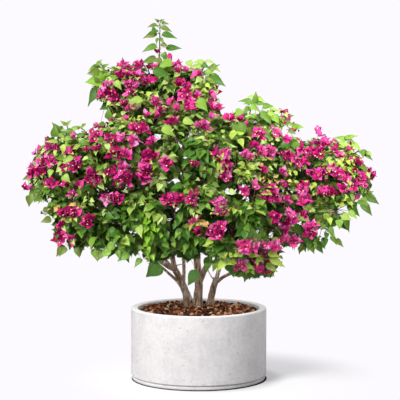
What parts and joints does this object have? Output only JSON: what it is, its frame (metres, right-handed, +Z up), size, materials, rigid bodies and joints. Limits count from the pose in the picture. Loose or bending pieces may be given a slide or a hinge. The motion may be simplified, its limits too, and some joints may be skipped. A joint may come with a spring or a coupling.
{
  "type": "bougainvillea bush in a round planter",
  "caption": "Bougainvillea bush in bloom: bare stems rise from a bark-mulched round concrete planter and carry a wide, open crown of leaves and bright flowers.",
  "frame": {"origin": "middle of the planter's flat underside", "axes": "+Z up; -Y is the front, the side that the picture shows; +X is to the right seen from the front"},
  "size_m": [1.299, 0.9061, 1.3067],
  "materials": {
    "concrete": "matte",
    "soil": "matte",
    "mulch": "matte",
    "bark": "matte",
    "foliage": "satin",
    "blossom": "matte"
  },
  "bodies": {
    "root": {"bark_mulch": "mulch", "bough_back_left": "bark", "bough_back_right": "bark", "bough_centre_back": "bark", "bough_centre_front": "bark", "bough_centre_low_left": "bark", "bough_centre_low_right": "bark", "bough_crown_back_top": "bark", "bough_crown_top": "bark", "bough_crown_top_left": "bark", "bough_crown_top_right": "bark", "bough_lobe_left": "bark", "bough_lobe_right": "bark", "bough_shoulder_left": "bark", "bough_shoulder_right": "bark", "bough_skirt_back": "bark", "bough_skirt_left": "bark", "bough_skirt_middle": "bark", "bough_skirt_right": "bark", "bough_truss_low_right": "bark", "foliage_back_left": "foliage", "foliage_back_right": "foliage", "foliage_centre_back": "foliage", "foliage_centre_front": "foliage", "foliage_centre_low_left": "foliage", "foliage_centre_low_right": "foliage", "foliage_crown_back_top": "foliage", "foliage_crown_top": "foliage", "foliage_crown_top_left": "foliage", "foliage_crown_top_right": "foliage", "foliage_lobe_left": "foliage", "foliage_lobe_right": "foliage", "foliage_shoulder_left": "foliage", "foliage_shoulder_right": "foliage", "foliage_skirt_back": "foliage", "foliage_skirt_left": "foliage", "foliage_skirt_middle": "foliage", "foliage_skirt_right": "foliage", "foliage_truss_low_right": "blossom", "limb_left_back": "bark", "limb_left_side": "bark", "limb_left_up": "bark", "limb_middle_back": "bark", "limb_middle_right": "bark", "limb_middle_up": "bark", "limb_right_up": "bark", "planter": "concrete", "potting_soil": "soil", "stem_left": "bark", "stem_middle": "bark", "stem_right": "bark"}
  },
  "joints": []
}
